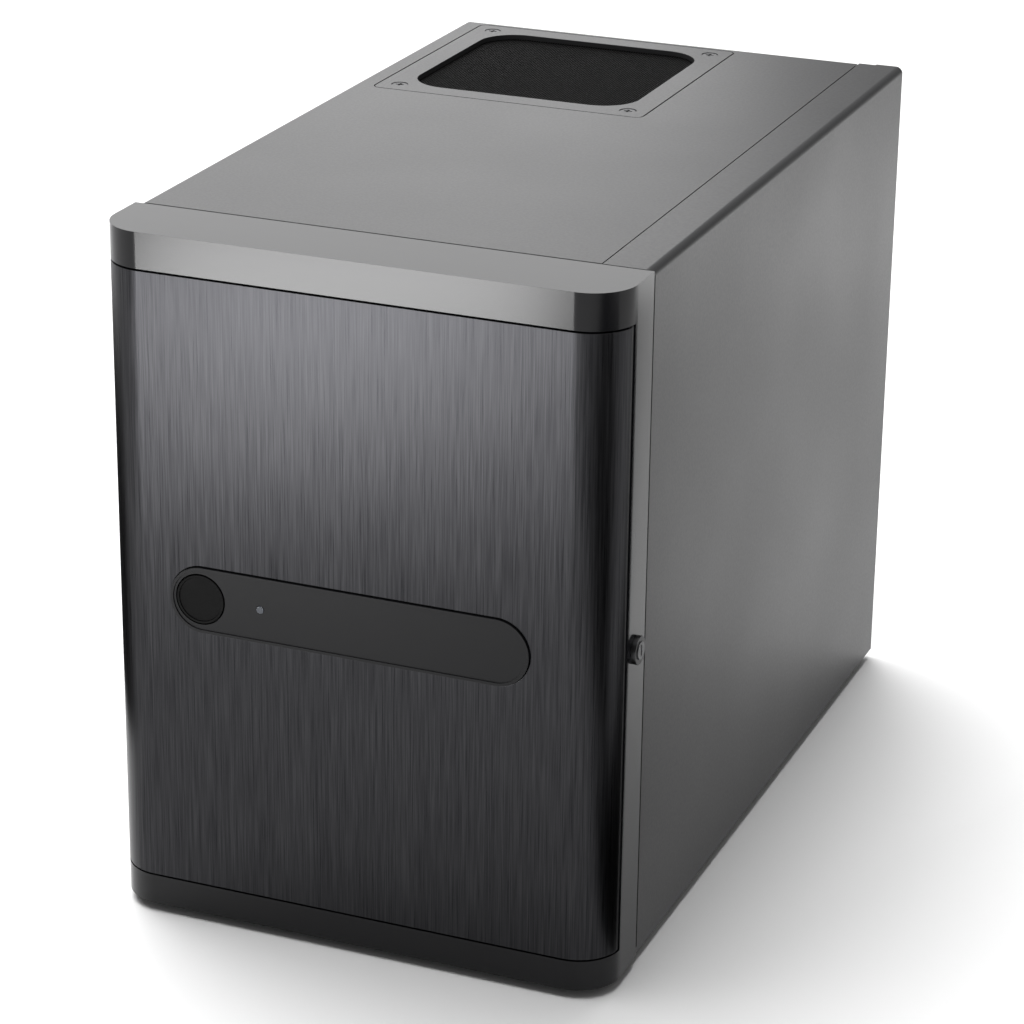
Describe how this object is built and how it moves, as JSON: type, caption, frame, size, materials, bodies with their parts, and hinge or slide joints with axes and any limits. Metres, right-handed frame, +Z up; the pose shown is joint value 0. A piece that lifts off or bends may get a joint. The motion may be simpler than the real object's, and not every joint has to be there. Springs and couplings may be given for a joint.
{
  "type": "desktop computer tower",
  "caption": "Compact computer tower with a hinged brushed front door, cam lock, filtered top vent, stacked drive trays and a removable side panel.",
  "frame": {"origin": "on the ground under the middle of the tower, feet at z = 0", "axes": "+X to the right seen from the front, +Y from the door to the rear panel, +Z up"},
  "size_m": [0.214, 0.362, 0.285],
  "materials": {
    "satin_steel": "satin powder coat",
    "zinc_steel": "zinc-plated sheet",
    "bezel_plastic": "gloss black moulding",
    "brushed_aluminium": "vertically brushed, dark anodised",
    "badge_plastic": "satin black",
    "black_plastic": "matt moulding",
    "tray_plastic": "matt moulding",
    "lens": "clear light pipe",
    "rubber": "matt",
    "filter_mesh": "fine black mesh",
    "board": "green solder mask",
    "bare_aluminium": "extruded",
    "drive_casting": "cast drive body",
    "psu_paint": "black powder coat",
    "plated_metal": "nickel-plated",
    "screw_metal": "plated",
    "black_screw": "black plated"
  },
  "bodies": {
    "chassis": {"base_pan": "zinc_steel", "feet": "rubber", "top_left_cover": "satin_steel", "rear_panel": "satin_steel", "front_plate": "zinc_steel", "motherboard_tray": "zinc_steel", "front_bezel": "bezel_plastic", "drive_cage": "zinc_steel", "backplane": "board", "motherboard": "board", "cpu_heatsink": "bare_aluminium", "cpu_fan_frame": "black_plastic", "memory_modules": "board", "rear_io_ports": "plated_metal", "io_shield": "plated_metal", "expansion_covers": "zinc_steel", "psu_case": "psu_paint", "psu_fan_grille": "plated_metal", "psu_inlet": "black_plastic", "top_filter_frame": "satin_steel", "top_filter_mesh": "filter_mesh", "top_filter_screws": "black_screw", "side_fan_frames": "black_plastic", "rear_fan_frame": "black_plastic", "switch_board": "board", "lock_housing": "black_screw", "chassis_screws": "screw_metal"},
    "door": {"door_skin": "brushed_aluminium", "door_frame": "black_plastic", "door_badge": "badge_plastic", "door_led_lens": "lens", "door_hardware": "screw_metal"},
    "power_button": {"power_button": "badge_plastic"},
    "lock": {"lock_barrel": "screw_metal"},
    "side_panel": {"side_panel_right": "satin_steel", "thumbscrews": "black_screw"},
    "cpu_rotor": {"cpu_fan_rotor": "black_plastic"},
    "psu_rotor": {"psu_fan_rotor": "black_plastic"},
    "side_rotor_upper": {"side_fan_rotor_upper": "black_plastic"},
    "side_rotor_lower": {"side_fan_rotor_lower": "black_plastic"},
    "rear_rotor": {"rear_fan_rotor": "black_plastic"},
    "psu_rocker": {"psu_switch": "black_plastic"},
    "filter_upper": {"side_filter_upper": "filter_mesh"},
    "filter_lower": {"side_filter_lower": "filter_mesh"},
    "tray_1": {"tray_1": "tray_plastic", "drive_1": "drive_casting"},
    "tray_2": {"tray_2": "tray_plastic", "drive_2": "drive_casting"},
    "tray_3": {"tray_3": "tray_plastic", "drive_3": "drive_casting"},
    "tray_4": {"tray_4": "tray_plastic", "drive_4": "drive_casting"},
    "tray_5": {"tray_5": "tray_plastic", "drive_5": "drive_casting"},
    "tray_6": {"tray_6": "tray_plastic", "drive_6": "drive_casting"},
    "tray_7": {"tray_7": "tray_plastic", "drive_7": "drive_casting"},
    "tray_8": {"tray_8": "tray_plastic", "drive_8": "drive_casting"}
  },
  "joints": [
    {"name": "door_hinge", "type": "hinge", "parent": "chassis", "child": "door", "pos_m": [-0.1025, -0.163, 0.143], "axis": [0, 0, -1], "range_deg": [0, 110]},
    {"name": "power_press", "type": "slide", "parent": "door", "child": "power_button", "axis": [0, 1, 0], "range_m": [0, 0.0015], "stiffness_N_per_m": 400, "springref_m": -0.0005},
    {"name": "lock_turn", "type": "hinge", "parent": "chassis", "child": "lock", "pos_m": [0.105, -0.155, 0.1395], "axis": [1, 0, 0], "range_deg": [0, 90]},
    {"name": "side_panel_slide", "type": "slide", "parent": "chassis", "child": "side_panel", "axis": [0, 1, 0], "range_m": [0, 0.36]},
    {"name": "tray_1_slide", "type": "slide", "parent": "chassis", "child": "tray_1", "axis": [0, -1, 0], "range_m": [0, 0.016]},
    {"name": "tray_2_slide", "type": "slide", "parent": "chassis", "child": "tray_2", "axis": [0, -1, 0], "range_m": [0, 0.016]},
    {"name": "tray_3_slide", "type": "slide", "parent": "chassis", "child": "tray_3", "axis": [0, -1, 0], "range_m": [0, 0.016]},
    {"name": "tray_4_slide", "type": "slide", "parent": "chassis", "child": "tray_4", "axis": [0, -1, 0], "range_m": [0, 0.016]},
    {"name": "tray_5_slide", "type": "slide", "parent": "chassis", "child": "tray_5", "axis": [0, -1, 0], "range_m": [0, 0.016]},
    {"name": "tray_6_slide", "type": "slide", "parent": "chassis", "child": "tray_6", "axis": [0, -1, 0], "range_m": [0, 0.016]},
    {"name": "tray_7_slide", "type": "slide", "parent": "chassis", "child": "tray_7", "axis": [0, -1, 0], "range_m": [0, 0.016]},
    {"name": "tray_8_slide", "type": "slide", "parent": "chassis", "child": "tray_8", "axis": [0, -1, 0], "range_m": [0, 0.016]},
    {"name": "cpu_fan_spin", "type": "hinge", "parent": "chassis", "child": "cpu_rotor", "pos_m": [0.05, 0.09, 0.12], "axis": [1, 0, 0], "continuous": true},
    {"name": "psu_fan_spin", "type": "hinge", "parent": "chassis", "child": "psu_rotor", "pos_m": [-0.034, 0.12475, 0.268], "axis": [0, 0, 1], "continuous": true},
    {"name": "side_fan_upper_spin", "type": "hinge", "parent": "chassis", "child": "side_rotor_upper", "pos_m": [-0.09, -0.068, 0.207], "axis": [1, 0, 0], "continuous": true},
    {"name": "side_fan_lower_spin", "type": "hinge", "parent": "chassis", "child": "side_rotor_lower", "pos_m": [-0.09, -0.068, 0.079], "axis": [1, 0, 0], "continuous": true},
    {"name": "rear_fan_spin", "type": "hinge", "parent": "chassis", "child": "rear_rotor", "pos_m": [-0.036, 0.162, 0.138], "axis": [0, 1, 0], "continuous": true},
    {"name": "psu_switch_rock", "type": "hinge", "parent": "chassis", "child": "psu_rocker", "pos_m": [-0.022, 0.1692, 0.246], "axis": [1, 0, 0], "range_deg": [-12, 12]},
    {"name": "filter_upper_pull", "type": "slide", "parent": "chassis", "child": "filter_upper", "axis": [-1, 0, 0], "range_m": [0, 0.08]},
    {"name": "filter_lower_pull", "type": "slide", "parent": "chassis", "child": "filter_lower", "axis": [-1, 0, 0], "range_m": [0, 0.08]}
  ]
}
